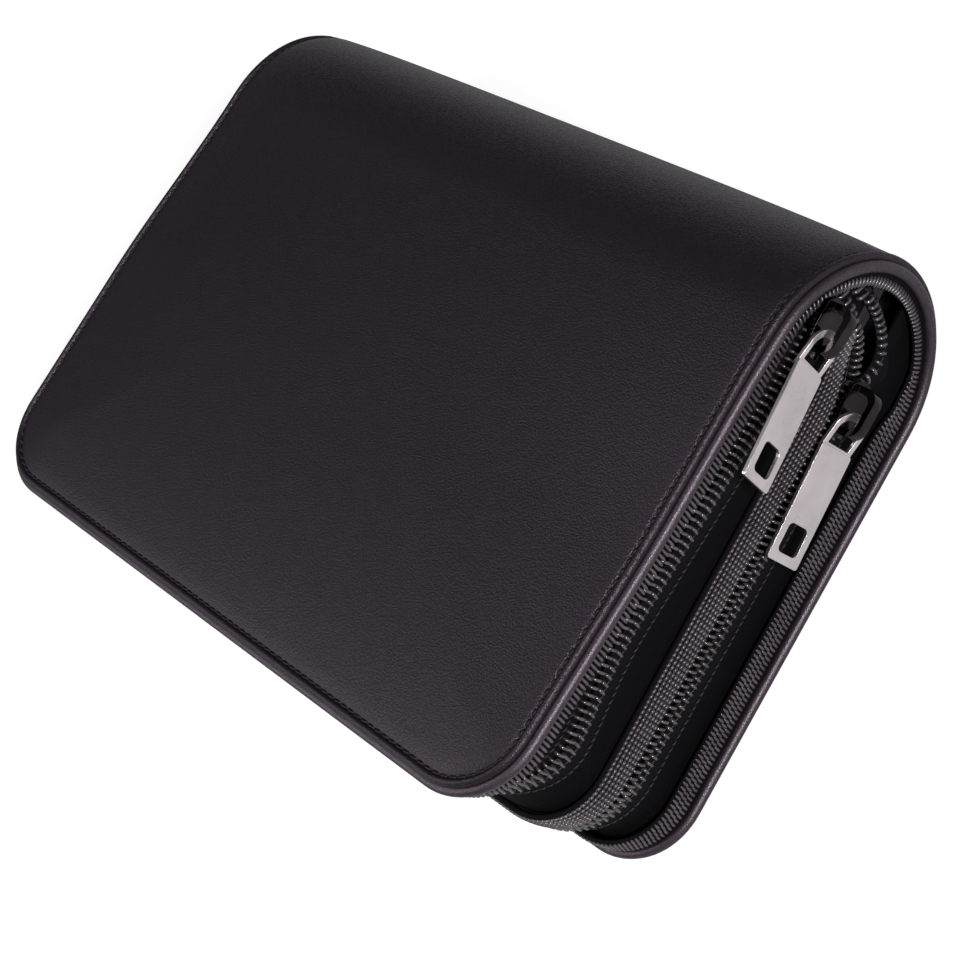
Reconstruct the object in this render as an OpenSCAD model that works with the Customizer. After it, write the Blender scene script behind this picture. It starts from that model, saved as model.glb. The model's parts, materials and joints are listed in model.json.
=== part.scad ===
// Book-shaped glasses organizer: two zipped trays between padded covers and a rounded spine.
// X runs along the spine, +Y points to the spine, Z rises from the rear cover to the front cover.
// The origin is the middle of the rear cover's outer face.

/* [Case] */
// Length along the spine
case_l = 184; // [160:1:210]
// Depth from the opening edge to the outside of the spine
case_w = 134; // [120:1:150]
// Outer radius of the rounded spine
spine_r = 28; // [26:0.5:32]
// Rise of the front cover towards the opening edge, in degrees
cover_rise = 4.8; // [2:0.1:6]
// Corner radius of the covers at the opening edge
corner_r = 18; // [14:0.5:24]
// Angle of the upper spine fold above the divider, in degrees
fold_a = 42; // [38:1:48]

/* [Cover layers] */
// Thickness of the leather
leather_t = 1.3; // [0.8:0.1:1.8]
// Thickness of the foam under the leather
foam_t = 1.2; // [0.6:0.1:2]
// Thickness of the stiffening board
board_t = 1.5; // [1:0.1:2.5]
// Thickness of every lining
lining_t = 0.8; // [0.5:0.1:1.2]
// Diameter of the piping bead
piping_d = 3.2; // [2.6:0.1:4]
// Depth of the piping below the face of the cover
piping_drop = 1; // [0.5:0.1:1.5]
// Height of the ribbed binding under the front piping
binding_w = 3.8; // [3:0.1:5]
// Thickness of the ribbed binding
binding_t = 1; // [0.6:0.1:1.3]
// Height of the ribbed binding over the rear piping
rear_binding_w = 6; // [3:0.1:7]
// Height of the binding round the ends of the spine
spine_binding_w = 2.2; // [1.8:0.1:2.6]

/* [Divider] */
// Height of the divider above the spine axis
divider_rise = 3; // [1:0.1:5]
// Thickness of the divider's board
divider_board_t = 2; // [1.5:0.1:3]
// Height of the divider's ribbed binding
divider_binding_w = 7.6; // [6:0.1:8]
// Thickness of the divider's ribbed binding
divider_binding_t = 1.2; // [1:0.1:2]

/* [Trays] */
// Thickness of the woven tray walls
wall_t = 1.2; // [0.8:0.1:2]
// Thickness of the padded partitions
partition_t = 4; // [3:0.1:6]
// Place of the partitions, measured from the middle of the case
partition_y = -3; // [-15:1:15]

/* [Zips] */
// Thickness of the zip tape
tape_t = 0.6; // [0.4:0.1:0.8]
// Overlap of the tape on the tray wall
tape_seam = 3; // [2:0.1:4]
// Thickness of the coil
coil_t = 1.5; // [1.2:0.1:2]
// Width of the solid edge of each coil half
rail_w = 1.4; // [1.2:0.1:2]
// Length of a coil tooth
tooth_l = 1.2; // [0.9:0.1:1.6]
// Width of a coil tooth
tooth_w = 1; // [0.7:0.1:1.1]
// Distance between the teeth of one half
tooth_pitch = 3; // [2.6:0.1:4]

/* [Sliders] */
// Length of the slider
slider_l = 12; // [10:0.5:14]
// Width of the slider at its shoulders
slider_w = 7.2; // [6.4:0.1:7.6]
// Width of the slider at its tail
slider_tail_w = 5; // [4.6:0.1:5.2]
// Thickness of the slider's two plates
plate_t = 1.2; // [0.9:0.1:1.5]
// Width of the web that joins the two plates
web_w = 0.6; // [0.5:0.1:0.9]
// Length of the web
web_l = 2.4; // [1.6:0.1:3]
// Place of the web, from the slider's middle towards its nose
web_y = 2; // [1.5:0.1:2.4]
// Height of the lips along the slider's tail
lip_h = 0.2; // [0.1:0.05:0.25]
// Width of the lips
lip_w = 0.7; // [0.5:0.1:1]
// Length of the crown that holds the pull
crown_l = 10.4; // [9:0.1:11]
// Width of the crown
crown_w = 2.8; // [2:0.1:3]
// Thickness of the crown
crown_t = 1.4; // [1:0.1:1.6]
// Height of the loop under the crown
crown_gap = 3.4; // [3:0.1:5]
// Outer corner radius of the crown
crown_r = 2.8; // [1.8:0.1:3]
// Place of the front slider, past the spine's axis
front_slider_y = 6; // [0:0.5:6]
// Place of the rear slider, past the spine's axis
rear_slider_y = -2.5; // [-4:0.5:6]

/* [Pulls] */
// Length of a pull
pull_l = 33; // [28:0.5:38]
// Width of a pull
pull_w = 9.2; // [8.4:0.1:9.6]
// Thickness of the flat tab
pull_t = 2; // [1.4:0.1:2.2]
// Thickness of the eye
eye_t = 1.2; // [1:0.1:1.4]
// Width of the eye's two arms
arm_w = 1.2; // [1:0.1:1.4]
// Width of the bar that turns in the crown
bar_w = 1.6; // [1.2:0.1:1.8]
// Place of the bar in the crown, from its middle towards the tail
bar_back = 0.8; // [0:0.1:1.5]
// Length of the eye's window
eye_window_l = 6; // [5.4:0.1:7]
// Outer corner radius of the eye
eye_r = 4; // [3:0.1:4.2]
// Length of the neck between the eye and the tab
neck_l = 0.6; // [0.4:0.1:1.5]
// Step between the sides of the eye and the sides of the tab
shoulder = 0.2; // [0.1:0.1:0.4]
// Bend between the eye and the tab, in degrees
eye_bend = 13; // [8:1:14]
// Side of the square window near the free end
window_s = 5.5; // [4:0.1:5.8]
// Corner radius of the square window
window_r = 1.1; // [0.4:0.1:1.4]
// Distance of the window from the free end
window_rim = 2.2; // [1.5:0.1:4]
// Corner radius of the tab
tab_r = 0.6; // [0.4:0.1:1.2]
// Lean of the front pull towards the rear cover, in degrees
front_pull_lean = -2; // [-4:1:8]
// Lean of the rear pull towards the rear cover, in degrees
rear_pull_lean = 1; // [0:1:2]
// Turn of the rear pull towards the front cover, in degrees
rear_pull_turn = 8; // [0:1:9]
// Rise of the front pull's free end away from the tray wall, in degrees
front_pull_rise = 9; // [4:1:12]
// Rise of the rear pull's free end away from the tray wall, in degrees
rear_pull_rise = 3; // [3:1:12]

/* [Hidden] */
$fn = 64;
// Clearance between pieces that are sewn or laid together
seam = 0.1;
// Clearance between pieces that move past each other
run_gap = 0.3;
// Clearance between a slider and the chain
slide_gap = 0.4;
// Clearance between a web and the short teeth beside it
web_gap = 0.2;
// Clearance between the tip of a tooth and the opposite rail
tip_gap = 0.4;
// Overshoot of a cutting shape
over = 1;

// Spine axis, and the flat height of the front cover's face before it is tilted
axis_y = case_w / 2 - spine_r;
axis_z = spine_r;
divider_z = axis_z + divider_rise;
top_z = 2 * spine_r;
fold_local = fold_a + cover_rise;
fold_half = run_gap / spine_r * 180 / PI;

// Depths below the face of a cover
cover_t = leather_t + foam_t + board_t + lining_t;
binding_top = piping_drop + piping_d + seam;
binding_low = binding_top + binding_w;

// Insets from the outer edge of the case
layer_in = piping_d + seam;
tape_in = layer_in - seam;
tape_out = tape_in - tape_t;
binding_in = tape_out - seam;
wall_in = layer_in + wall_t;

// Chain: half gap between the rails, and half width of the closed chain
rail_in = (tooth_l + tip_gap) / 2;
chain_half = rail_in + rail_w;
tooth_tip = rail_in - tooth_l;
slot_half = web_w / 2 + web_gap;
front_zip_z = top_z - binding_low - seam - chain_half;
rear_zip_z = divider_z - divider_binding_w / 2 - seam - chain_half;

// Tray walls and partitions
divider_half = divider_board_t / 2 + lining_t;
wall_drop = slider_w / 2 + slide_gap;
tape_drop = wall_drop + tape_seam;
front_wall_z = front_zip_z - wall_drop;
rear_wall_z = rear_zip_z - wall_drop;
partition_x = case_l / 2 - wall_in - seam;

// Radii at the spine
spine_in = spine_r - leather_t - lining_t;
binding_r = spine_r - binding_top - spine_binding_w;
tape_r = binding_r - run_gap;
front_upper_y = axis_y + reach(binding_r, front_zip_z + chain_half - axis_z) - run_gap;
front_lower_y = axis_y + reach(binding_r, front_zip_z - axis_z) - run_gap;
rear_zip_y = axis_y + reach(binding_r, axis_z - rear_zip_z + chain_half) - 2 * run_gap;
divider_binding_y = axis_y + reach(binding_r, divider_rise + divider_binding_w / 2) - 2 * run_gap;
divider_y = axis_y + reach(spine_in, divider_rise + divider_half) - run_gap;

// Centre of the round corners along the case
corner_x = case_l / 2 - corner_r;

// Extra depth of what tilts with the front cover, so that its tape meets the top of the tray wall
wall_y = tape_in - case_w / 2 - axis_y;
front_grow = wall_y - (wall_y - (front_wall_z - axis_z) * sin(cover_rise)) / cos(cover_rise);
$grow = 0;

// Slider, measured outwards from the middle of the coil
coil_x = case_l / 2 - tape_out + coil_t / 2;
bulge = max(coil_t, seam + divider_binding_t, seam + binding_t);
plate_n = bulge - coil_t / 2 + slide_gap;
crown_n = plate_n + plate_t;
floor_n = -coil_t / 2 - tape_t - slide_gap;
bar_n = crown_n + crown_gap / 2;

leather_colour = "#2b292c";
cloth_colour = "#201f21";
ribbed_colour = "#3a3739";
zip_colour = "#161617";
board_colour = "#8c8070";
foam_colour = "#c9c4b8";
slider_colour = "#3b3b3d";
pull_colour = "#b9b5ae";

// Half chord of a circle of radius r at a height h from its centre
function reach(r, h) = sqrt(r * r - h * h);

// Opening edge of the case, and the centre line of its round corners
function edge_y() = -case_w / 2 - $grow;
function bend_y() = edge_y() + corner_r;

// Turns pieces drawn flat under the front cover to the cover's rise about the spine axis
module front_frame() {
    $grow = front_grow;
    translate([0, axis_y, axis_z])
        rotate([-cover_rise, 0, 0])
            translate([0, -axis_y, -axis_z])
                children();
}

// Draws a YZ section through the whole length between -half and half
module along_x(half)
    rotate([90, 0, 90])
        linear_extrude(2 * half, center = true)
            children();

// Plan of a panel, inset from the outer edge, round at the opening edge and square at the back
module plan(inset, back) {
    r = corner_r - inset;
    x = case_l / 2 - inset;
    y = edge_y() + inset;
    translate([-x, y + r])
        square([2 * x, back - y - r]);
    translate([r - x, y])
        square([2 * (x - r), back - y]);
    for (side = [-1, 1])
        translate([side * (x - r), y + r])
            circle(r);
}

// Flat panel between two heights
module panel(inset, back, low, high)
    translate([0, 0, low])
        linear_extrude(high - low)
            plan(inset, back);

// Strip that stands on edge round both ends and the opening edge
module band(outer, inner, back, low, high)
    translate([0, 0, low])
        linear_extrude(high - low)
            difference() {
                plan(outer, back);
                plan(inner, back + over);
            }

// Sector of a ring round the spine axis, in the YZ section
module spine_sector(inner, outer, from, to) {
    far = 2 * outer;
    mid = (from + to) / 2;
    translate([axis_y, axis_z])
        intersection() {
            difference() {
                circle(outer);
                circle(inner);
            }
            polygon([
                [0, 0],
                far * [cos(from), sin(from)],
                far * [cos(mid), sin(mid)],
                far * [cos(to), sin(to)]
            ]);
        }
}

// Everything in front of the spine axis, and a round end of radius r behind it
module inside_spine(r)
    along_x(case_l)
        union() {
            translate([axis_y - 2 * case_w, -case_w])
                square([2 * case_w, 3 * case_w]);
            translate([axis_y, axis_z])
                circle(r);
        }

// Leather of one cover and its part of the spine, cut to the round corners
module cover_leather(low, from, to)
    intersection() {
        along_x(case_l / 2 - layer_in)
            union() {
                translate([edge_y() + layer_in, low])
                    square([axis_y - layer_in - edge_y(), leather_t]);
                spine_sector(spine_r - leather_t, spine_r, from, to);
            }
        panel(layer_in, case_w, -over, top_z + over);
    }

// Lining strip of the spine between two angles
module lining_strip(from, to)
    along_x(case_l / 2 - layer_in)
        spine_sector(spine_in, spine_in + lining_t, from, to);

// Piping round both ends and the opening edge at one height
module piping_run(height) {
    r = piping_d / 2;
    bend = corner_r - r;
    for (side = [-1, 1]) {
        translate([side * (corner_x + bend), bend_y(), height])
            rotate([-90, 0, 0])
                cylinder(h = axis_y - bend_y(), r = r);
        translate([side * corner_x, bend_y(), height])
            rotate([0, 0, side > 0 ? -90 : 180])
                rotate_extrude(angle = 90)
                    translate([bend, 0])
                        circle(r);
    }
    translate([-corner_x, bend_y() - bend, height])
        rotate([0, 90, 0])
            cylinder(h = 2 * corner_x, r = r);
}

// Piping round the two ends of the spine between two angles
module piping_arcs(from, to)
    for (side = [-1, 1])
        translate([side * (case_l - piping_d) / 2, axis_y, axis_z])
            rotate([90, 0, 90])
                rotate([0, 0, from])
                    rotate_extrude(angle = to - from)
                        translate([spine_r - piping_drop - piping_d / 2, 0])
                            circle(piping_d / 2);

// Ribbed binding round the two ends of the spine between two angles
module binding_arcs(from, to)
    for (side = [-1, 1])
        translate([side * (case_l / 2 - binding_in + binding_t / 2), 0, 0])
            along_x(binding_t / 2)
                spine_sector(binding_r, binding_r + spine_binding_w, from, to);

// Woven tray wall between two heights, shaped to the spine at its two ends
module tray_wall(low, high)
    intersection() {
        band(layer_in, wall_in, case_w, low, high);
        inside_spine(spine_in - run_gap);
    }

// Padded partition with a round top between two heights
module partition(low, high)
    along_x(partition_x)
        union() {
            translate([partition_y - partition_t / 2, low])
                square([partition_t, high - low - partition_t / 2]);
            translate([partition_y, high - partition_t / 2])
                circle(partition_t / 2);
        }

// Zip tape on edge between two heights, shaped to the binding at the spine
module zip_tape(low, high)
    intersection() {
        band(tape_out, tape_in, case_w, low, high);
        inside_spine(tape_r);
    }

// Row of coil teeth on a rail, drawn along X, with the teeth pointing away from dir
module comb(length, dir, tip) {
    phase = dir > 0 ? 0.25 : 0.75;
    count = floor((length - tooth_w / 2) / tooth_pitch - phase) + 1;
    teeth = [
        for (i = [count - 1 : -1 : 0])
            let (s = (i + phase) * tooth_pitch)
                each [
                    [s + tooth_w / 2, dir * rail_in],
                    [s + tooth_w / 2, dir * tip],
                    [s - tooth_w / 2, dir * tip],
                    [s - tooth_w / 2, dir * rail_in]
                ]
    ];
    polygon(concat(
        [[0, dir * chain_half], [length, dir * chain_half], [length, dir * rail_in]],
        teeth,
        [[0, dir * rail_in]]
    ));
}

// Quarter of a coil half round one corner of the opening edge
module corner_coil(dir) {
    inner = corner_r - tape_out;
    count = floor((inner + coil_t / 2) * PI / 2 / tooth_pitch);
    phase = dir > 0 ? 0.25 : 0.75;
    low = dir > 0 ? rail_in : -chain_half;
    tooth_low = dir > 0 ? tooth_tip : -chain_half;
    rotate_extrude(angle = 90)
        translate([inner, low])
            square([coil_t, rail_w]);
    for (i = [0 : count - 1])
        rotate([0, 0, (i + phase) * 90 / count])
            translate([inner + coil_t / 4, -tooth_w / 2, tooth_low])
                cube([coil_t / 2, tooth_w, chain_half - tooth_tip]);
}

// One half of a zip chain round three sides. The teeth are short on the run that the slider uses
module coil_half(height, dir, back) {
    end_l = back - bend_y();
    translate([0, 0, height]) {
        translate([case_l / 2 - tape_out, bend_y(), 0])
            rotate([90, 0, 90])
                linear_extrude(coil_t)
                    comb(end_l, dir, slot_half);
        mirror([1, 0, 0])
            translate([case_l / 2 - tape_out, bend_y(), 0])
                rotate([90, 0, 90])
                    linear_extrude(coil_t)
                        comb(end_l, dir, tooth_tip);
        translate([-corner_x, edge_y() + tape_out, 0])
            rotate([90, 0, 0])
                linear_extrude(coil_t)
                    comb(2 * corner_x, dir, tooth_tip);
        for (side = [-1, 1])
            translate([side * corner_x, bend_y(), 0])
                rotate([0, 0, side > 0 ? -90 : 180])
                    corner_coil(dir);
    }
}

// Outline of a slider plate, nose towards +X
module slider_plan()
    polygon([
        [-slider_l / 2, -slider_tail_w / 2],
        [slider_l / 8, -slider_w / 2],
        [slider_l * 3 / 8, -slider_w / 2],
        [slider_l / 2, -slider_w / 4],
        [slider_l / 2, slider_w / 4],
        [slider_l * 3 / 8, slider_w / 2],
        [slider_l / 8, slider_w / 2],
        [-slider_l / 2, slider_tail_w / 2]
    ]);

// Lip along one edge of the slider's tail
module slider_lip()
    polygon([
        [-slider_l / 2, slider_tail_w / 2 - lip_w],
        [slider_l / 8, slider_w / 2 - lip_w],
        [slider_l / 8, slider_w / 2],
        [-slider_l / 2, slider_tail_w / 2]
    ]);

// Upright shape with two round upper corners
module arch(length, height, r) {
    translate([-length / 2, 0])
        square([length, height - r]);
    translate([r - length / 2, 0])
        square([length - 2 * r, height]);
    for (side = [-1, 1])
        translate([side * (length / 2 - r), height - r])
            circle(r);
}

// Rectangle with round corners, centred
module round_rect(size, r) {
    square([size.x, size.y - 2 * r], center = true);
    square([size.x - 2 * r, size.y], center = true);
    for (x = [-1, 1], y = [-1, 1])
        translate([x * (size.x / 2 - r), y * (size.y / 2 - r)])
            circle(r);
}

// Lays a slider outline, drawn along X, on the end of the case between two distances outwards
module slider_layer(low, high)
    translate([low, 0, 0])
        rotate([90, 0, 90])
            linear_extrude(high - low)
                children();

// Slider with its nose towards the spine, round the chain's middle
module slider_shape() {
    slider_layer(floor_n - plate_t, floor_n)
        slider_plan();
    slider_layer(plate_n, crown_n)
        slider_plan();
    slider_layer(plate_n - lip_h, plate_n) {
        slider_lip();
        mirror([0, 1])
            slider_lip();
    }
    slider_layer(floor_n, plate_n)
        translate([web_y, 0])
            square([web_l, web_w], center = true);
    translate([crown_n, 0, 0])
        mirror([1, -1, 0])
            linear_extrude(crown_w, center = true)
                difference() {
                    arch(crown_l, crown_gap + crown_t, crown_r);
                    translate([0, -over])
                        arch(crown_l - 2 * crown_t, crown_gap + over, crown_r - crown_t / 2);
                }
}

// Pull that hangs towards -Y from its bar at the origin, bent inwards between its eye and its tab
module pull_shape() {
    eye_w = pull_w - 2 * shoulder;
    eye_l = bar_w / 2 + eye_window_l + neck_l;
    tab_l = pull_l - bar_w / 2 - eye_l;
    rotate([0, 0, -eye_bend])
        rotate([0, -90, 0])
            linear_extrude(eye_t, center = true)
                difference() {
                    translate([0, -eye_l - 2 * tab_r])
                        arch(eye_w, eye_l + 2 * tab_r + bar_w / 2, eye_r);
                    translate([0, -bar_w / 2 - eye_window_l])
                        arch(eye_w - 2 * arm_w, eye_window_l, eye_r - arm_w);
                }
    translate([-eye_l * sin(eye_bend), -eye_l * cos(eye_bend), 0])
        rotate([0, -90, 0])
            linear_extrude(pull_t, center = true)
                difference() {
                    translate([0, -tab_l / 2])
                        round_rect([pull_w, tab_l], tab_r);
                    translate([0, window_rim + window_s / 2 - tab_l])
                        round_rect([window_s, window_s], window_r);
                }
}

module rear_cover_leather()
    color(leather_colour)
        cover_leather(0, -90, -fold_half);

module rear_cover_foam()
    color(foam_colour)
        panel(layer_in, axis_y, leather_t, leather_t + foam_t);

module rear_cover_board()
    color(board_colour)
        panel(layer_in, axis_y, leather_t + foam_t, cover_t - lining_t);

module rear_cover_lining()
    color(cloth_colour)
        panel(layer_in, axis_y, cover_t - lining_t, cover_t);

module rear_spine_lining()
    color(cloth_colour)
        lining_strip(-90, -fold_half);

module rear_piping()
    color(leather_colour) {
        piping_run(piping_drop + piping_d / 2);
        piping_arcs(-90, -fold_half);
    }

module rear_binding()
    color(ribbed_colour) {
        band(binding_in - binding_t, tape_in, axis_y, binding_top, binding_top + rear_binding_w);
        binding_arcs(-90, -fold_half);
    }

module rear_tray_wall()
    color(cloth_colour)
        tray_wall(cover_t, rear_wall_z);

module rear_tray_partition()
    color(cloth_colour)
        partition(cover_t, rear_wall_z);

module rear_zip_lower_tape()
    color(zip_colour)
        zip_tape(rear_zip_z - tape_drop, rear_zip_z - rail_in);

module rear_zip_lower_coil()
    color(zip_colour)
        coil_half(rear_zip_z, -1, rear_zip_y);

module rear_zip_upper_tape()
    color(zip_colour)
        zip_tape(rear_zip_z + rail_in, divider_z);

module rear_zip_upper_coil()
    color(zip_colour)
        coil_half(rear_zip_z, 1, rear_zip_y);

module divider_board()
    color(board_colour)
        panel(layer_in, divider_y, divider_z - divider_board_t / 2, divider_z + divider_board_t / 2);

module divider_lower_lining()
    color(cloth_colour)
        panel(layer_in, divider_y, divider_z - divider_half, divider_z - divider_board_t / 2);

module divider_upper_lining()
    color(cloth_colour)
        panel(layer_in, divider_y, divider_z + divider_board_t / 2, divider_z + divider_half);

module divider_binding() {
    half = divider_binding_w / 2;
    color(ribbed_colour) {
        band(binding_in - divider_binding_t, binding_in, divider_binding_y, divider_z - half, divider_z + half);
        band(binding_in, tape_in, divider_binding_y, divider_z + seam, divider_z + half);
    }
}

module spine_leather()
    color(leather_colour)
        along_x(case_l / 2 - layer_in)
            spine_sector(spine_r - leather_t, spine_r, fold_half, fold_a - fold_half);

module spine_lining()
    color(cloth_colour)
        lining_strip(fold_half, fold_a - fold_half);

module spine_piping()
    color(leather_colour)
        piping_arcs(fold_half, fold_a - fold_half);

module spine_binding()
    color(ribbed_colour)
        binding_arcs(fold_half, fold_a - fold_half);

module front_tray_wall()
    color(cloth_colour)
        difference() {
            tray_wall(divider_z + divider_half, top_z + case_w * tan(cover_rise));
            front_frame()
                translate([-case_l, -2 * case_w, front_wall_z])
                    cube([2 * case_l, 4 * case_w, case_w]);
        }

module front_tray_partition()
    color(cloth_colour)
        partition(divider_z + divider_half, front_wall_z);

module front_zip_lower_tape()
    color(zip_colour)
        front_frame()
            zip_tape(front_zip_z - tape_drop, front_zip_z - rail_in);

module front_zip_lower_coil()
    color(zip_colour)
        front_frame()
            coil_half(front_zip_z, -1, front_lower_y);

module front_zip_upper_tape()
    color(zip_colour)
        front_frame()
            zip_tape(front_zip_z + rail_in, top_z - binding_top);

module front_zip_upper_coil()
    color(zip_colour)
        front_frame()
            coil_half(front_zip_z, 1, front_upper_y);

module front_cover_lining()
    color(cloth_colour)
        front_frame()
            panel(layer_in, axis_y, top_z - cover_t, top_z - cover_t + lining_t);

module front_cover_board()
    color(board_colour)
        front_frame()
            panel(layer_in, axis_y, top_z - cover_t + lining_t, top_z - leather_t - foam_t);

module front_cover_foam()
    color(foam_colour)
        front_frame()
            panel(layer_in, axis_y, top_z - leather_t - foam_t, top_z - leather_t);

module front_cover_leather()
    color(leather_colour)
        front_frame()
            cover_leather(top_z - leather_t, fold_local + fold_half, 90);

module front_spine_lining()
    color(cloth_colour)
        front_frame()
            lining_strip(fold_local + fold_half, 90);

module front_piping()
    color(leather_colour)
        front_frame()
            union() {
                piping_run(top_z - piping_drop - piping_d / 2);
                piping_arcs(fold_local + fold_half, 90);
            }

module front_binding()
    color(ribbed_colour)
        front_frame() {
            band(binding_in - binding_t, binding_in, axis_y, top_z - binding_low, top_z - binding_top);
            binding_arcs(fold_local + fold_half, 90);
        }

module front_slider()
    color(slider_colour)
        front_frame()
            translate([coil_x, axis_y + front_slider_y, front_zip_z])
                slider_shape();

module front_pull()
    color(pull_colour)
        front_frame()
            translate([coil_x + bar_n, axis_y + front_slider_y - bar_back, front_zip_z])
                rotate([front_pull_lean, 0, 0])
                    rotate([0, 0, front_pull_rise])
                        pull_shape();

module rear_slider()
    color(slider_colour)
        translate([coil_x, axis_y + rear_slider_y, rear_zip_z])
            slider_shape();

module rear_pull()
    color(pull_colour)
        translate([coil_x + bar_n, axis_y + rear_slider_y - bar_back, rear_zip_z])
            rotate([rear_pull_lean, 0, 0])
                rotate([0, -rear_pull_turn, 0])
                    rotate([0, 0, rear_pull_rise])
                        pull_shape();

rear_cover_leather();
rear_cover_foam();
rear_cover_board();
rear_cover_lining();
rear_spine_lining();
rear_piping();
rear_binding();
rear_tray_wall();
rear_tray_partition();
rear_zip_lower_tape();
rear_zip_lower_coil();
rear_zip_upper_tape();
rear_zip_upper_coil();
divider_board();
divider_lower_lining();
divider_upper_lining();
divider_binding();
spine_leather();
spine_lining();
spine_piping();
spine_binding();
front_tray_wall();
front_tray_partition();
front_zip_lower_tape();
front_zip_lower_coil();
front_zip_upper_tape();
front_zip_upper_coil();
front_cover_lining();
front_cover_board();
front_cover_foam();
front_cover_leather();
front_spine_lining();
front_piping();
front_binding();
front_slider();
front_pull();
rear_slider();
rear_pull();
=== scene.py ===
"""Dresses the glasses organizer: leather, piping, bindings, zips, linings, sliders and pulls.

Shapes are worked out in millimetres and become metres when a piece is made. X runs along the
spine, +Y points to the spine, and Z rises from the rear cover to the front cover.
"""
import json
import math

import bpy
import numpy as np
from mathutils import Matrix, Vector


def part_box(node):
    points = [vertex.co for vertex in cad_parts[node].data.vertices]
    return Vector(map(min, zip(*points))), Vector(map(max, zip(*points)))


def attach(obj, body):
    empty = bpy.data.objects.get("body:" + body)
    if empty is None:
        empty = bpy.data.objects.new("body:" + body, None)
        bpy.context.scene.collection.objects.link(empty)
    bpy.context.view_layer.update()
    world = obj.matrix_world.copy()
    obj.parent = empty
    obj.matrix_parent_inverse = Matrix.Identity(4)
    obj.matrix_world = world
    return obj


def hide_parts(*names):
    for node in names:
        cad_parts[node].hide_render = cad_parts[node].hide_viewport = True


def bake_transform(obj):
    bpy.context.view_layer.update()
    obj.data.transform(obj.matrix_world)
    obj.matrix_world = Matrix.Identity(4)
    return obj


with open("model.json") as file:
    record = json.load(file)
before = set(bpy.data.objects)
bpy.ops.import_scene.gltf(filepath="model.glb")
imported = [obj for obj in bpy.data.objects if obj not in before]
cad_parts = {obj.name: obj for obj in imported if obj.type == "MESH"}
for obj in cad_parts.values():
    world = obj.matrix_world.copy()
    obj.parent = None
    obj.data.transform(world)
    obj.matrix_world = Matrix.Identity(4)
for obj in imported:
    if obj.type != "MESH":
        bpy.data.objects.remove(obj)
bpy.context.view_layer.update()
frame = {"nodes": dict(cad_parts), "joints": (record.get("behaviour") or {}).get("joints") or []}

MM = 0.001


def low_corner(name):
    """Lowest corner of a CAD node, in millimetres."""
    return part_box(name)[0] / MM


def high_corner(name):
    """Highest corner of a CAD node, in millimetres."""
    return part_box(name)[1] / MM


def joint(name):
    """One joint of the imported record."""
    return next(j for j in frame["joints"] if j["name"] == name)


# Case, read from the frame
HALF_L = high_corner("rear_piping").x
EDGE_Y = low_corner("rear_piping").y
AXIS_Y = high_corner("rear_cover_board").y
SPINE_R = high_corner("rear_cover_leather").y - AXIS_Y
AXIS_Z = SPINE_R
RISE = math.asin(joint("front_zip_slide")["axis"][2])
DIVIDER_LOW = low_corner("divider_lower_lining").z
DIVIDER_HIGH = high_corner("divider_upper_lining").z
DIVIDER_Z = (DIVIDER_LOW + DIVIDER_HIGH) / 2
DIVIDER_BACK = high_corner("divider_board").y
COVER_T = high_corner("rear_cover_lining").z

# Case, not readable from boxes
CORNER_R = 18.0
FRONT_GROW = 1.5
LAYER_IN = 3.3
LINING_R = 25.9
SPLIT_A = math.radians(21)

# Softness: the front cover's twist, and the crowns of its padding and of the spine
TWIST = 2.1
TWIST_AT_SPINE = 0.33
TWIST_FULL_Y = -10.0
TWIST_FROM_A = math.radians(25)
TWIST_TO_A = math.radians(75)
FRONT_CROWN = 2.4
SPINE_CROWN = 0.8
PAD_REACH = 15.0

# Edge of a cover: insets from the outer edge and depths below the face
STITCH_IN = 3.4
STITCH_PITCH = 2.2
STITCH_DEEP = 0.58
LEATHER_T = 1.1
PIPING_IN = 1.3
PIPING_DEEP = 2.6
PIPING_R = 1.2
BINDING_IN = 1.7
BINDING_TOP = 4.9
BACKING_RISE = 2.0
FRONT_BINDING_W = 2.5
SPINE_BINDING_W = 1.6
REAR_ROW_W = 1.9
REAR_ROW_ENDS = (99.0, 56.0, 46.0)
RIB_PITCH = 1.05

# Zips
ZIP_IN = 1.85
FRONT_ZIP_Z = 45.6
FRONT_ZIP_R = 23.0
FRONT_ZIP_SAG = 4.8
SAG_RUN_Y = (20, 52)
SAG_RUN_X = (74, 91)
REAR_ZIP_Z = (low_corner("rear_zip_lower_coil").z + high_corner("rear_zip_upper_coil").z) / 2
REAR_ZIP_R = 20.0
TOOTH_PITCH = 1.6
TAPE_IN = 2.6
TAPE_T = 0.5
TAPE_FROM = 0.55
LOWER_TAPE_W = 6.9
FRONT_UPPER_TAPE_W = 6.0
TAIL_TAPE_W = 3.4
INNER_ROW = 3.0
OUTER_ROW = 6.3

# Pulls
PULL_L = 33.0
PULL_W = 9.2
PULL_T = 0.8
PULL_BAR = 1.6
PULL_WINDOW_W = 5.7
PULL_WINDOW_L = 6.2
PULL_RIM = 2.0
EYE_W = 8.8
EYE_ARM = 1.2
EYE_WINDOW_L = 6.0
EYE_NECK = 0.6
EYE_BEND = math.radians(13)
EYE_R = 4.0
EYE_WINDOW_R = 2.8
EYE_OVERLAP = 1.0
EYE_LOW = -0.1
NECK_R = 0.3
TAB_R = 0.6
TAB_LOW = 0.2
PULL_WINDOW_R = 1.2
FRONT_PULL_RISE = math.radians(9)
REAR_PULL_RISE = math.radians(3)
PULL_BEVEL = 0.12
SLIDER_BEVEL = 0.6
BEVEL_FROM_A = math.radians(40)
WELD_WITHIN = 0.01

# Trays
WALL_T = 1.0
WALL_SAG = 0.8
WALL_BACK_GAP = 0.6
FRONT_WALL_DROP = 4.0
FRONT_WALL_R = 19.0
REAR_WALL_R = 18.5
LINING_T = 0.6
LINING_RISE = 0.7
LINING_ARC_DEEP = 1.4
LINING_TURN_A = math.radians(14)
DIVIDER_CLOTH_T = 0.5
PARTITION_SEAMS = 6

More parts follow.
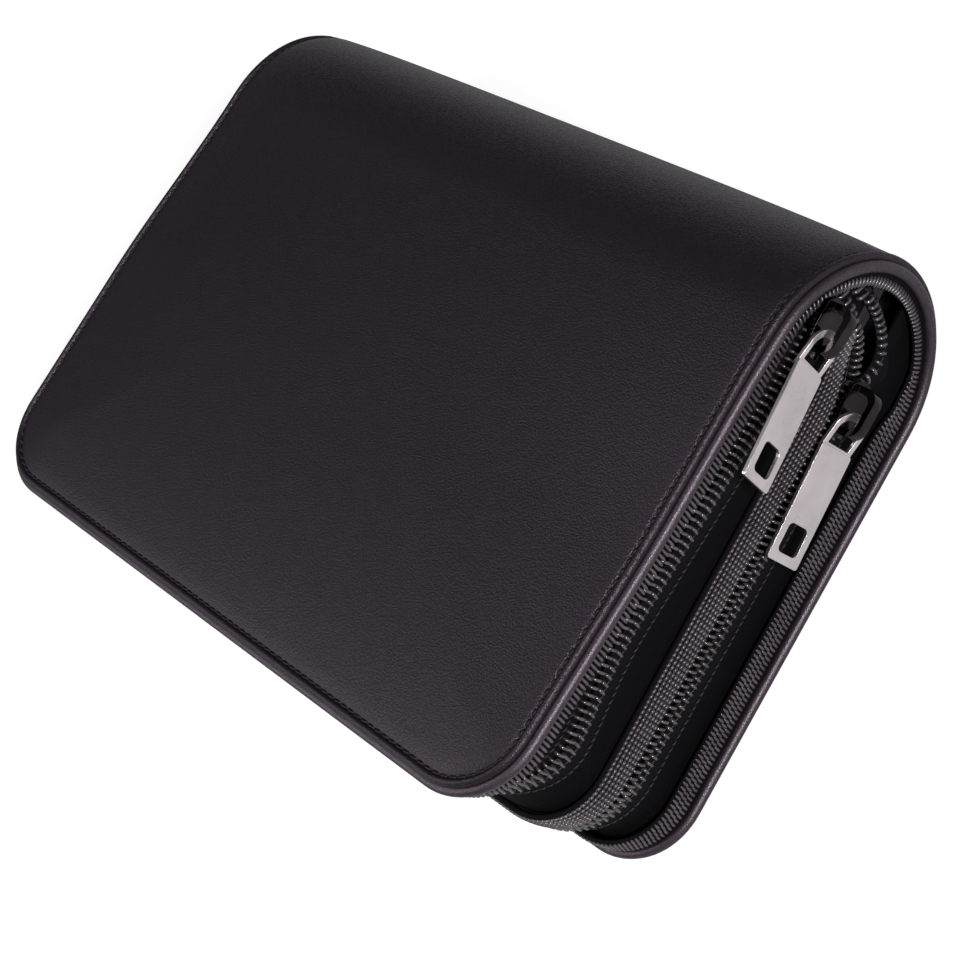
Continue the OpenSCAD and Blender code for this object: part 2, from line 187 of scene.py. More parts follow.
# Stage
WORLD_LIGHT = 0.15
FLOOR_HALF = 4000.0
FLOOR_Z = -0.05
FLOOR_GLOW = 0.6
AIM = (0, 0, 0.03)


class Track:
    """Frames along a path: points on the outer edge, and the directions outwards and up."""

    def __init__(self, points, out, up):
        self.points = np.asarray(points, float)
        self.out = np.asarray(out, float)
        self.up = np.asarray(up, float)

    def __len__(self):
        return len(self.points)

    def at(self, inset, depth):
        """Points at an inset from the edge and a depth below the face."""
        inset = np.asarray(inset, float).reshape(-1, 1)
        depth = np.asarray(depth, float).reshape(-1, 1)
        return self.points - self.out * inset - self.up * depth

    def part(self, keep):
        return Track(self.points[keep], self.out[keep], self.up[keep])

    def back(self):
        return self.part(slice(None, None, -1))

    def mirrored(self):
        flip = np.array([-1.0, 1.0, 1.0])
        return Track(self.points * flip, self.out * flip, self.up * flip)

    def tilted(self):
        """The same path, turned from the flat to the rise of the front cover."""
        pivot = np.array([0.0, AXIS_Y, AXIS_Z])
        turn = np.array(Matrix.Rotation(-RISE, 3, "X"))
        return Track((self.points - pivot) @ turn.T + pivot, self.out @ turn.T, self.up @ turn.T)

    def spaced(self, pitch, inset=0.0, depth=0.0, phase=0.5):
        """Frames at an even pitch along the path at an inset and a depth."""
        steps = np.linalg.norm(np.diff(self.at(inset, depth), axis=0), axis=1)
        along = np.concatenate([[0.0], np.cumsum(steps)])
        count = int(along[-1] / pitch - phase) + 1
        where = (np.arange(count) + phase) * pitch

        def pick(values):
            return np.stack([np.interp(where, along, values[:, k]) for k in range(3)], axis=1)

        def unit(values):
            return values / np.linalg.norm(values, axis=1, keepdims=True)

        return Track(pick(self.points), unit(pick(self.out)), unit(pick(self.up)))

    def forward(self):
        """Direction along the path at each frame."""
        return np.cross(self.out, self.up)


def joined(*tracks):
    return Track(
        np.concatenate([t.points for t in tracks]),
        np.concatenate([t.out for t in tracks]),
        np.concatenate([t.up for t in tracks]),
    )


def steps_for(length, step):
    return max(2, int(math.ceil(length / step)))


def near_side(back, step, height, up_z=1, grow=0.0, radius=CORNER_R):
    """Near end from y = back to the opening edge, with the round corner."""
    bend_y = EDGE_Y - grow + radius
    corner_x = HALF_L - radius
    ys = np.linspace(back, bend_y, steps_for(AXIS_Y - EDGE_Y, step) + 1)
    turns = np.linspace(0, -math.pi / 2, steps_for(CORNER_R * math.pi / 2, step) + 1)[1:]
    points = [(HALF_L, y, height) for y in ys]
    points += [(corner_x + radius * math.cos(a), bend_y + radius * math.sin(a), height) for a in turns]
    out = [(1, 0, 0)] * len(ys) + [(math.cos(a), math.sin(a), 0) for a in turns]
    return Track(points, out, [(0, 0, up_z)] * len(points))


def opening_edge(step, height, up_z=1, grow=0.0, radius=CORNER_R):
    """Opening edge between the two corners, without its end points."""
    corner_x = HALF_L - radius
    xs = np.linspace(corner_x, -corner_x, steps_for(2 * (HALF_L - CORNER_R), step) + 1)[1:-1]
    return Track(
        [(x, EDGE_Y - grow, height) for x in xs], [(0, -1, 0)] * len(xs), [(0, 0, up_z)] * len(xs)
    )


def spine_arc(start, end, step):
    """Edge of the spine at the near end between two angles, without its last point."""
    count = steps_for(abs(end - start) * SPINE_R, step)
    angles = np.linspace(start, end, count + 1)[:-1]
    points = [(HALF_L, AXIS_Y + SPINE_R * math.cos(a), AXIS_Z + SPINE_R * math.sin(a)) for a in angles]
    return Track(points, [(1, 0, 0)] * count, [(0, math.cos(a), math.sin(a)) for a in angles])


def whole(near, edge):
    """Path from the near side round the opening edge to the far side."""
    return joined(near, edge, near.mirrored().back())


def flat_sides(front, step):
    """Near side and opening edge of a cover, from the middle of the spine, before the rise."""
    face = 1 if front else -1
    grow = FRONT_GROW if front else 0.0
    start = SPLIT_A + RISE if front else SPLIT_A
    height = AXIS_Z + face * SPINE_R
    near = joined(
        spine_arc(start, face * math.pi / 2, step), near_side(AXIS_Y, step, height, face, grow)
    )
    return near, opening_edge(step, height, face, grow)


def cover_sides(front, step):
    """Near side and opening edge of a cover where it lies."""
    near, edge = flat_sides(front, step)
    return (near.tilted(), edge.tilted()) if front else (near, edge)


def cover_rim(front, step):
    return whole(*cover_sides(front, step))


def level_track(back, step, height, grow=0.0, radius=CORNER_R):
    """Path round three sides at one height."""
    return whole(
        near_side(back, step, height, 1, grow, radius), opening_edge(step, height, 1, grow, radius)
    )


def smooth(a, b, x):
    """0 before a, 1 after b, and a smooth rise between them."""
    t = np.clip((np.asarray(x, float) - a) / (b - a), 0, 1)
    return t * t * (3 - 2 * t)


def twist(points):
    """Rise of the soft front cover: at the opening edge its far corner stands above its near one."""
    angle = np.arctan2(points[:, 2] - AXIS_Z, np.maximum(points[:, 1] - AXIS_Y, 0.0))
    cover = smooth(TWIST_FROM_A, TWIST_TO_A, angle)
    turn = TWIST_AT_SPINE - smooth(-AXIS_Y, -TWIST_FULL_Y, -points[:, 1])
    return TWIST * cover * turn * points[:, 0] / HALF_L


def sag(points):
    """Depth that the front zip hangs below the rise of the cover round its corners."""
    return FRONT_ZIP_SAG * smooth(*SAG_RUN_Y, -points[:, 1]) * smooth(*SAG_RUN_X, np.abs(points[:, 0]))


class Shape:
    """Vertices and faces of one piece, in millimetres."""

    def __init__(self):
        self.verts = []
        self.faces = []
        self.count = 0

    def add(self, points):
        """Adds points and returns the index of the first."""
        points = np.asarray(points, float).reshape(-1, 3)
        first = self.count
        self.verts.append(points)
        self.count += len(points)
        return first

    def loft(self, rings, closed=True):
        """Joins rings of points, given as an array of rings by points by 3, and caps closed ones."""
        turn = np.cross(rings[0], np.roll(rings[0], -1, axis=0)).sum(axis=0)
        if closed and turn @ (rings[1] - rings[0]).mean(axis=0) < 0:
            rings = rings[:, ::-1]
        rows, cols = rings.shape[:2]
        first = self.add(rings)
        last = cols if closed else cols - 1
        for r in range(rows - 1):
            a, b = first + r * cols, first + (r + 1) * cols
            for c in range(last):
                d = (c + 1) % cols
                self.faces.append((a + c, a + d, b + d, b + c))
        if closed:
            start, end = self.add(rings[0]), self.add(rings[-1])
            self.faces.append(tuple(start + c for c in reversed(range(cols))))
            self.faces.append(tuple(end + c for c in range(cols)))

    def sweep(self, track, section):
        """Carries a closed section of (inset, depth) points, which may change by frame, along a track."""
        section = np.asarray(section, float)
        if section.ndim == 2:
            section = np.broadcast_to(section, (len(track),) + section.shape)
        out = track.out[:, None] * section[..., 0:1]
        up = track.up[:, None] * section[..., 1:2]
        self.loft(track.points[:, None] - out - up)

    def stamp(self, template, track, inset=0.0, depth=0.0, stretch=1.0):
        """Sets a copy of a template, drawn as (along, up, out), at each frame, stretched along up."""
        points, faces = template
        places = track.at(inset, depth)
        forward = track.forward()
        stretch = np.broadcast_to(stretch, len(track))
        for i in range(len(track)):
            axes = np.stack([forward[i], track.up[i] * stretch[i], track.out[i]])
            first = self.add(places[i] + points @ axes)
            self.faces.extend(tuple(first + k for k in reversed(f)) for f in faces)

    def twisted(self):
        """The same shape, following the twist of the front cover."""
        for points in self.verts:
            points[:, 2] += twist(points)
        return self


def tube(line, radii, sides=6):
    """Round bar along a bent line of (along, up, out) points, as a template for stamping."""
    line = np.asarray(line, float)
    heading = np.gradient(line, axis=0)
    heading /= np.linalg.norm(heading, axis=1, keepdims=True)
    side = np.eye(3)[np.abs(heading).max(axis=0).argmin()]
    turns = np.arange(sides) * 2 * math.pi / sides
    rings = []
    for point, ahead, radius in zip(line, heading, radii):
        across = side - ahead * (side @ ahead)
        across /= np.linalg.norm(across)
        other = np.cross(ahead, across)
        rings.append([point + radius * (across * math.cos(t) + other * math.sin(t)) for t in turns])
    shape = Shape()
    shape.loft(np.array(rings))
    return np.concatenate(shape.verts), shape.faces


def piece(name, shape, material):
    """Makes the object of a shape, with smooth faces and a material."""
    mesh = bpy.data.meshes.new(name)
    mesh.from_pydata((np.concatenate(shape.verts) * MM).tolist(), [], shape.faces)
    mesh.validate()
    mesh.shade_smooth()
    mesh.materials.append(material)
    made = bpy.data.objects.new(name, mesh)
    bpy.context.scene.collection.objects.link(made)
    return made


def modify(made, kind, **settings):
    """Adds a modifier with its settings."""
    modifier = made.modifiers.new(kind.title(), kind)
    for key, value in settings.items():
        setattr(modifier, key, value)


def across_fold(made, front):
    """Bakes the piece's transform into its mesh, the same way for either cover."""

    if front:
        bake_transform(made)
    else:
        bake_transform(made)


# Materials


class Look:
    """A Principled material with helpers for its nodes."""

    def __init__(self, name):
        self.material = bpy.data.materials.new(name)
        self.material.use_nodes = True
        self.tree = self.material.node_tree
        self.shader = self.tree.nodes["Principled BSDF"]
        self.place = self.add("ShaderNodeTexCoord").outputs["Object"]

    def add(self, kind, values=None, **settings):
        made = self.tree.nodes.new(kind)
        for key, value in settings.items():
            setattr(made, key, value)
        for key, value in (values or {}).items():
            self.set(made.inputs[key], value)
        return made

    def set(self, socket, value):
        if isinstance(value, bpy.types.NodeSocket):
            self.tree.links.new(value, socket)
        else:
            socket.default_value = value

    def shade(self, **values):
        for key, value in values.items():
            self.set(self.shader.inputs[key.replace("_", " ")], value)

    def noise(self, size_mm, detail=3.0, rough=0.5):
        values = {"Vector": self.place, "Scale": 1 / (size_mm * MM), "Detail": detail, "Roughness": rough}
        return self.add("ShaderNodeTexNoise", values).outputs["Fac"]

    def cells(self, size_mm):
        values = {"Vector": self.place, "Scale": 1 / (size_mm * MM)}
        return self.add("ShaderNodeTexVoronoi", values).outputs["Distance"]

    def waves(self, size_mm, axis, warp=0.0):
        values = {"Vector": self.place, "Scale": math.pi / (10 * size_mm * MM), "Distortion": warp}
        return self.add("ShaderNodeTexWave", values, bands_direction=axis).outputs["Fac"]

    def math(self, operation, a, b):
        made = self.add("ShaderNodeMath", operation=operation)
        self.set(made.inputs[0], a)
        self.set(made.inputs[1], b)
        return made.outputs[0]

    def blend(self, a, b, share):
        """Sum of two values, with the share of the second."""
        return self.math("ADD", self.math("MULTIPLY", a, 1 - share), self.math("MULTIPLY", b, share))

    def span(self, value, low, high, start=0.0, end=1.0):
        """A value from start to end, mapped to low to high."""
        values = {"Value": value, "From Min": start, "From Max": end, "To Min": low, "To Max": high}
        return self.add("ShaderNodeMapRange", values).outputs["Result"]

    def ramp(self, value, first, second, start=0.3, end=0.7):
        made = self.add("ShaderNodeValToRGB", {"Fac": value})
        for element, place, colour in zip(made.color_ramp.elements, (start, end), (first, second)):
            element.position = place
            element.color = (*colour, 1)
        return made.outputs["Color"]

    def bump(self, height, strength, depth_mm, under=None):
        values = {"Height": height, "Strength": strength, "Distance": depth_mm * MM}
        if under:
            values["Normal"] = under
        return self.add("ShaderNodeBump", values).outputs["Normal"]


def leather(name, dark, light, rough, grain_mm, grain, shine):
    """Grained synthetic leather: fine pebbles, glossy on top, over soft unevenness. Its colour is lighter
    on the pebble tops as a painted highlight and darker between them as painted shade, with some random
    tone.
    """
    look = Look(name)
    pebbles = look.span(look.cells(grain_mm), 1.0, 0.0, 0.0, 0.75)
    height = look.blend(pebbles, look.noise(grain_mm * 0.6, 3.0, 0.6), 0.35)
    soft = look.noise(16.0, 2.0)
    look.shade(
        # Base colour: painted highlight on the pebble tops and painted shade in the hollows between them
        Base_Color=look.ramp(look.blend(height, look.noise(4.0, 3.0), 0.2), dark, light, 0.35, 0.7),
        Roughness=look.span(height, rough + 0.12, rough - 0.12, 0.3, 0.75),
        Normal=look.bump(height, 1.0, grain, look.bump(soft, 0.06, 0.8)),
        Specular_IOR_Level=shine,
        Specular_Tint=SHEEN_TINT,
    )
    return look.material


def woven(name, dark, light, yarn_mm, rough=0.85, strength=0.6, gloss=0.25):
    """Plain woven cloth of fine yarns."""
    look = Look(name)
    rise = look.waves(yarn_mm, "Z", 0.4)
    across = look.blend(look.waves(yarn_mm, "X", 0.4), look.waves(yarn_mm, "Y", 0.4), 0.5)
    weave = look.math("MULTIPLY", across, rise)
    fuzz = look.noise(0.4, 3.0)
    look.shade(
        Base_Color=look.ramp(look.blend(weave, fuzz, 0.5), dark, light, 0.2, 0.7),
        Roughness=look.span(fuzz, rough - 0.08, rough + 0.08),
        Normal=look.bump(weave, strength, 0.15, look.bump(fuzz, 0.3, 0.1)),
        Specular_IOR_Level=gloss,
    )
    return look.material


def yarn(name, dark, light, rough, thread_mm, shine):
    """Twisted shiny thread of the ribbed bindings and stitches."""
    look = Look(name)
    twine = look.noise(thread_mm, 4.0, 0.6)
    look.shade(
        Base_Color=look.ramp(look.blend(twine, look.noise(6.0, 2.0), 0.35), dark, light),
        Roughness=look.span(twine, rough - 0.08, rough + 0.1),
        Normal=look.bump(twine, 0.35, 0.06),
        Specular_IOR_Level=shine,
    )
    return look.material


def nylon(name, dark, light, rough):
    """Glossy moulded nylon of the zip coils."""
    look = Look(name)
    cloud = look.noise(1.2, 2.0)
    look.shade(
        Base_Color=look.ramp(cloud, dark, light),
        Roughness=look.span(cloud, rough - 0.05, rough + 0.08),
        Normal=look.bump(look.noise(0.25, 2.0), 0.12, 0.05),
        Specular_IOR_Level=1.0,
    )
    return look.material


def metal(name, dark, light, rough, scratch):
    """Satin or bright metal with fine brushed marks and soft tarnish."""
    look = Look(name)
    stretch = look.add("ShaderNodeMapping", {"Vector": look.place, "Scale": (1.0, 0.12, 1.0)})
    values = {"Vector": stretch.outputs["Vector"], "Scale": 1 / (0.15 * MM), "Detail": 2.0}
    brushed = look.add("ShaderNodeTexNoise", values).outputs["Fac"]
    cloud = look.noise(7.0, 3.0)
    look.shade(
        Base_Color=look.ramp(cloud, dark, light, 0.25, 0.75),
        Metallic=1.0,
        Roughness=look.span(look.blend(brushed, cloud, 0.5), rough - 0.06, rough + 0.08, 0.3, 0.7),
        Normal=look.bump(brushed, scratch, 0.02),
    )
    return look.material


def fibre_board(name):
    """Grey-brown stiffening board with pressed fibres."""
    look = Look(name)
    fibres = look.noise(0.8, 5.0, 0.65)
    look.shade(
        Base_Color=look.ramp(fibres, (0.16, 0.13, 0.10), (0.28, 0.24, 0.19)),
        Roughness=look.span(fibres, 0.75, 0.95),
        Normal=look.bump(fibres, 0.3, 0.15),
    )
    return look.material


SHEEN_TINT = (1.0, 0.84, 1.0, 1.0)
# Leather and piping: the colour paints a highlight on the pebble tops and shade between them
LEATHER = leather("leather", (0.0016, 0.0004, 0.0021), (0.0125, 0.0065, 0.0140), 0.38, 0.42, 0.1, 0.45)
BEAD = leather("piping_leather", (0.008, 0.005, 0.008), (0.030, 0.022, 0.028), 0.4, 0.42, 0.06, 0.8)
RIBBED = yarn("ribbed_yarn", (0.007, 0.004, 0.006), (0.085, 0.065, 0.076), 0.36, 0.5, 1.0)
THREAD = yarn("stitch_thread", (0.001, 0.0008, 0.001), (0.004, 0.003, 0.004), 0.55, 0.3, 0.3)
SEWING = yarn("sewing_thread", (0.003, 0.0024, 0.003), (0.010, 0.008, 0.0095), 0.55, 0.3, 0.4)
# Gusset cloth: nearly black, partly its own dark colour and partly painted shade of the deep trays
GUSSET = woven("gusset_cloth", (0.0006, 0.0004, 0.0007), (0.0032, 0.0022, 0.0036), 0.55, gloss=0.1)
LINING = woven("lining_cloth", (0.008, 0.007, 0.009), (0.022, 0.019, 0.024), 0.45)
# Near-black cloth: the zip tapes' own colour, and painted shade between the ribs on the binding backings
TAPE_AND_SHADE = woven("tape_cloth_and_painted_shade", (0.0008, 0.0005, 0.0009), (0.0045, 0.0032, 0.005), 0.5, gloss=0.12)
COIL = nylon("zip_coil_nylon", (0.020, 0.018, 0.020), (0.066, 0.059, 0.064), 0.22)
PULL = metal("pull_metal", (0.74, 0.67, 0.70), (0.88, 0.81, 0.835), 0.3, 0.25)
SLIDER = metal("slider_metal", (0.022, 0.019, 0.021), (0.046, 0.041, 0.044), 0.12, 0.08)
BOARD = fibre_board("fibre_board")


# Covers


def outline_distance(x, y, grow):
    """Distance in from the outline of a cover, which has round corners at the opening edge."""
    over_x = np.abs(x) - (HALF_L - CORNER_R)
    over_y = (EDGE_Y - grow + CORNER_R) - y
    outside = np.hypot(np.maximum(over_x, 0), np.maximum(over_y, 0))
    return CORNER_R - outside - np.minimum(np.maximum(over_x, over_y), 0)


# Section of a leather cover from its tucked edge to its field, as (inset, depth)
LEATHER_EDGE = [
    (2.4, 2.5), (1.9, 2.0), (1.55, 1.5), (1.48, 0.95), (1.62, 0.4), (2.0, 0.02), (2.45, -0.12),
    (2.85, 0.04), (3.12, 0.46), (STITCH_IN, 0.74), (3.75, 0.44), (4.3, 0.16), (5.3, -0.14),
    (6.8, -0.46),
]
LINING_EDGE = [(LAYER_IN, 0.0), (4.4, 0.0), (6.8, 0.0)]


def sheet_shape(near, edge, section, pad, flat, grow=0.0):
    """Sheet that carries a section round its rim and fills the field inside it with rows.

    pad gives the field's height from its distance to the outline and the row's up; flat is the
    rows' y before the rise.
    """
    rim = whole(near, edge)
    rows, columns = len(near), len(edge) + 1
    field_in, field_deep = section[-1]
    border = near.at(field_in, 0.0)
    share = 1 - 2 * np.arange(columns + 1) / columns
    shape = Shape()
    grid = np.zeros((rows, columns + 1), int)
    for r in range(rows):
        x = border[r, 0] * share
        distance = outline_distance(x, np.full_like(x, flat[r]), grow)
        height = pad(np.maximum(distance, field_in), near.up[r]) - field_deep
        points = np.stack([x, np.full_like(x, border[r, 1]), np.full_like(x, border[r, 2])], axis=1)
        grid[r] = shape.add(points + near.up[r] * height[:, None]) + np.arange(columns + 1)
    for r in range(rows - 1):
        for c in range(columns):
            shape.faces.append((grid[r, c], grid[r, c + 1], grid[r + 1, c + 1], grid[r + 1, c]))
    inner = np.concatenate([grid[:, 0], grid[-1, 1:-1], grid[::-1, -1]])
    for inset, deep in reversed(section[:-1]):
        ring = shape.add(rim.at(inset, deep)) + np.arange(len(rim))
        for i in range(len(rim) - 1):
            shape.faces.append((inner[i], inner[i + 1], ring[i + 1], ring[i]))
        inner = ring
    upright = near.up[-1, 2] > 0
    shape.faces = [tuple(int(k) for k in (f if upright else reversed(f))) for f in shape.faces]
    return shape


def sunk(track, flat_deep, arc_deep):
    """A track moved below its face, less deep round the spine than under the flat cover."""
    bend = smooth(0.0, LINING_TURN_A, np.arccos(np.clip(track.up @ track.up[-1], -1, 1)))
    return Track(track.at(0.0, flat_deep + (arc_deep - flat_deep) * bend), track.out, track.up)


def cover_sheet(front, section, pad, sink=None):
    """Sheet over a cover and its half of the spine, sunk below the face if depths are given."""
    near, edge = cover_sides(front, 2.0)
    flat = flat_sides(front, 2.0)[0].at(section[-1][0], 0.0)[:, 1]
    if sink:
        near, edge = sunk(near, *sink), Track(edge.at(0.0, sink[0]), edge.out, edge.up)
    return sheet_shape(near, edge, section, pad, flat, FRONT_GROW if front else 0.0)


def crown_of(front):
    """Height of the padding, full on the front cover and none where the case rests."""
    def pad(distance, up):
        lean = max(up[2] if front else -up[2], 0.0)
        full = FRONT_CROWN if front else 0.0
        crown = SPINE_CROWN + (full - SPINE_CROWN) * float(smooth(0.36, 1.0, lean))
        return crown * (1 - np.exp(-(distance - LEATHER_EDGE[-1][0]) / PAD_REACH))

    return pad


def no_pad(distance, up):
    return np.zeros_like(distance)


def make_leather():
    for name, front, nodes in (
        ("front_leather", True, ("front_cover_leather", "front_cover_foam", "spine_leather")),
        ("rear_leather", False, ("rear_cover_leather", "rear_cover_foam")),
    ):
        section = LEATHER_EDGE if front else [(inset, max(deep, 0.0)) for inset, deep in LEATHER_EDGE]
        shape = cover_sheet(front, section, crown_of(front))
        made = piece(name, shape.twisted() if front else shape, LEATHER)
        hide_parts(*nodes)
        across_fold(made, front)
        modify(made, "SUBSURF", levels=1, render_levels=1, boundary_smooth="PRESERVE_CORNERS")
        modify(made, "SOLIDIFY", thickness=LEATHER_T * MM, offset=-1, use_rim=False)


def make_linings():
    front_nodes = ("front_cover_lining", "front_spine_lining", "spine_lining")
    rear_nodes = ("rear_cover_lining", "rear_spine_lining")
    for name, front, nodes, board, sewn in (
        ("front_lining", True, front_nodes, "front_cover_board", ["front_zip_upper_tape_cloth"]),
        ("rear_lining", False, rear_nodes, "rear_cover_board", []),
    ):
        shape = cover_sheet(front, LINING_EDGE, no_pad, sink=(COVER_T - LINING_RISE, LINING_ARC_DEEP))
        made = piece(name, shape, LINING)
        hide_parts(*nodes)
        across_fold(made, front)
        modify(made, "SOLIDIFY", thickness=LINING_T * MM, offset=-1)


def make_piping():
    turns = np.linspace(0, 2 * math.pi, 14, endpoint=False)
    ring = np.stack([PIPING_IN + PIPING_R * np.cos(turns), PIPING_DEEP + PIPING_R * np.sin(turns)], axis=1)
    for name, front, nodes in (
        ("front_piping_bead", True, ("front_piping", "spine_piping")),
        ("rear_piping_bead", False, ("rear_piping",)),
    ):
        shape = Shape()
        shape.sweep(cover_rim(front, 1.5), ring)
        made = piece(name, shape.twisted() if front else shape, BEAD)
        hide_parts(*nodes)
        across_fold(made, front)


def ribs(shape, track, top, width, slant=0.55):
    """Row of slanting yarn bars across a band whose upper edge lies at the depth top."""
    line = [(slant * t, -t, 0.25 * (1 - t * t * 4)) for t in (-0.5, -0.3, 0.0, 0.3, 0.5)]
    bar = tube(line, (0.18, 0.3, 0.34, 0.3, 0.18))
    shape.stamp(bar, track, BINDING_IN, top + width / 2, width)


def backing(track, top, width):
    """Band that the ribs lie on, reaching up behind the piping; its near-black colour is painted shade
    between the ribs.
    """
    top = top - BACKING_RISE
    width = width + BACKING_RISE
    one = np.ones(len(track))
    insets = np.stack([k * one for k in (2.0, 1.85, 1.85, 2.0, 2.5, 2.5)], axis=1)
    depths = np.stack([top + width * k for k in (0, 0.1, 0.9, 1, 1, 0)], axis=1)
    shape = Shape()
    shape.sweep(track, np.stack([insets, depths], axis=2))
    return shape


def front_binding(rim):
    """Backing and ribs of the front binding, narrower round the ends of the spine."""
    def width(track):
        spine = smooth(AXIS_Y - 14, AXIS_Y + 10, track.points[:, 1])
        return FRONT_BINDING_W + (SPINE_BINDING_W - FRONT_BINDING_W) * spine

    bars = rim.spaced(RIB_PITCH, BINDING_IN, BINDING_TOP)
    shape = Shape()
    ribs(shape, bars, BINDING_TOP, width(bars))
    return backing(rim, BINDING_TOP, width(rim)).twisted(), shape.twisted()


def rear_binding(rim):
    """Backing and rows of ribs on the rear cover; they gather into one where the spine turns up."""
    def share(track, row):
        return 1 - smooth(-12, 0, track.points[:, 1] - REAR_ROW_ENDS[row])

    rows = range(len(REAR_ROW_ENDS))
    shape = Shape()
    for row in rows:
        bars = rim.spaced(RIB_PITCH, BINDING_IN, BINDING_TOP, 0.5 + 0.3 * row)
        bars = bars.part(share(bars, row) > 0.1)
        above = sum((share(bars, k) for k in range(row)), np.zeros(len(bars)))
        ribs(shape, bars, BINDING_TOP + REAR_ROW_W * above, REAR_ROW_W * share(bars, row))
    return backing(rim, BINDING_TOP, REAR_ROW_W * sum(share(rim, row) for row in rows)), shape


def make_bindings():
    for name, front, shaped, nodes in (
        ("front_ribbed_binding", True, front_binding, ("front_binding", "spine_binding")),
        ("rear_ribbed_binding", False, rear_binding, ("rear_binding",)),
    ):
        band, bars = shaped(cover_rim(front, 1.0))
        made = piece(name, bars, RIBBED)
        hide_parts(*nodes)
        across_fold(made, front)
        # Backing in near-black cloth: painted shade between the ribs
        across_fold(piece(name + "_backing", band, TAPE_AND_SHADE), front)


def make_stitching():
    half = 0.85
    arch = ((-1, -0.35), (-0.75, 0.0), (0, 0.12), (0.75, 0.0), (1, -0.35))
    stitch = tube([(half * along, up, 0) for along, up in arch], (0.2, 0.32, 0.35, 0.32, 0.2))
    for name, front in (("front_stitching", True), ("rear_stitching", False)):
        shape = Shape()
        shape.stamp(stitch, cover_rim(front, 1.0).spaced(STITCH_PITCH, STITCH_IN), STITCH_IN, STITCH_DEEP)
        made = piece(name, shape.twisted() if front else shape, THREAD)
        across_fold(made, front)


# Trays


def wall_top(points, front):
    """Height of a tray wall's upper edge; the front wall's follows the cover."""
    if not front:
        return np.full(len(points), high_corner("rear_tray_wall").z)
    rise = (AXIS_Y - points[:, 1]) * math.tan(RISE)
    return AXIS_Z + (FRONT_ZIP_Z - FRONT_WALL_DROP - AXIS_Z) / math.cos(RISE) + rise - sag(points)


def make_walls():
    rows = 9
    for front, body, board, low, low_r, high_r in (
        (True, "divider_leaf", "divider_board", DIVIDER_HIGH, FRONT_WALL_R, FRONT_ZIP_R),
        (False, "rear_case", "rear_cover_board", COVER_T, REAR_WALL_R, REAR_ZIP_R),
    ):
        tray = "front" if front else "rear"
        outer, inner = [], []
        for share in np.linspace(0, 1, rows):
            radius = low_r + (high_r - low_r) * share
            back = AXIS_Y + 18.0
            for _ in range(3):
                top = wall_top(np.array([[0.0, back, 0.0]]), front)[0]
                height = low + (top - low) * share
                back = AXIS_Y + math.sqrt((LINING_R - WALL_BACK_GAP) ** 2 - (height - AXIS_Z) ** 2)
            track = level_track(back, 1.5, 0.0, 0.0, radius)
            heights = low + (wall_top(track.points, front) - low) * share
            inset = LAYER_IN + WALL_SAG * math.sin(math.pi * share)
            outer.append(track.at(inset, -heights))
            inner.append(track.at(inset + WALL_T, -heights))
        shape = Shape()
        shape.loft(np.stack(outer + inner[::-1], axis=1))
        # Gusset in the near-black cloth, whose colour is partly painted shade
        made = piece(tray + "_gusset", shape, GUSSET)
        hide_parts(tray + "_tray_wall")
        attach(made, body)


def make_partitions():
    """Padded walls across the trays, sewn flat at even distances."""
    for name, node, body in (
        ("front_partition_pad", "front_tray_partition", "divider_leaf"),
        ("rear_partition_pad", "rear_tray_partition", "rear_case"),
    ):
        low, high = low_corner(node), high_corner(node)
        middle = (low.y + high.y) / 2
        half = (high.y - low.y) / 2
        rings = []
        for x in np.linspace(low.x + 0.2, high.x - 0.2, 121):
            seam = abs(math.cos(math.pi * (x - low.x) / (high.x - low.x) * PARTITION_SEAMS)) ** 12
            end = smooth(0, 5, min(x - low.x, high.x - x))
            wide = half * (1 - 0.35 * seam) * (0.55 + 0.45 * end)
            top = high.z - 0.6 * seam - 1.2 * (1 - end)
            side = np.linspace(0, math.pi, 9)
            ring = [(x, middle + wide * math.cos(a), top - half + half * math.sin(a)) for a in side]
            for share in (0.66, 0.33, 0.0):
                ring.append((x, middle - wide * (0.8 + 0.2 * share), low.z + (top - half - low.z) * share))
            for share in (0.0, 0.33, 0.66):
                ring.append((x, middle + wide * (0.8 + 0.2 * share), low.z + (top - half - low.z) * share))
            rings.append(ring)
        shape = Shape()
        shape.loft(np.array(rings))
        made = piece(name, shape, LINING)
        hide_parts(node)
        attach(made, body)


# Zips


def path_track(line, step):
    """Track at the near end through (y, z) points, rounded by a spline and tucked in at its start."""
    line = np.asarray(line, float)
    ends = np.concatenate([[2 * line[0] - line[1]], line, [2 * line[-1] - line[-2]]])
    fine = []
    for a, b, c, d in zip(ends, ends[1:], ends[2:], ends[3:]):
        for t in np.arange(0, 1, step / np.linalg.norm(c - b)):
            bend = (2 * a - 5 * b + 4 * c - d) * t * t + (3 * b - a - 3 * c + d) * t ** 3
            fine.append(b + ((c - a) * t + bend) / 2)
    fine = np.array(fine)
    heading = np.gradient(fine, axis=0)
    heading /= np.linalg.norm(heading, axis=1, keepdims=True)
    flat = np.zeros(len(fine))
    tuck = TAIL_TUCK * (1 - smooth(0, TAIL_TUCK_RUN, np.arange(len(fine)) * step))
    return Track(
        np.stack([HALF_L - tuck, fine[:, 0], fine[:, 1]], axis=1),
        np.stack([flat + 1, flat, flat], axis=1),
        np.stack([flat, heading[:, 1], -heading[:, 0]], axis=1),
    )


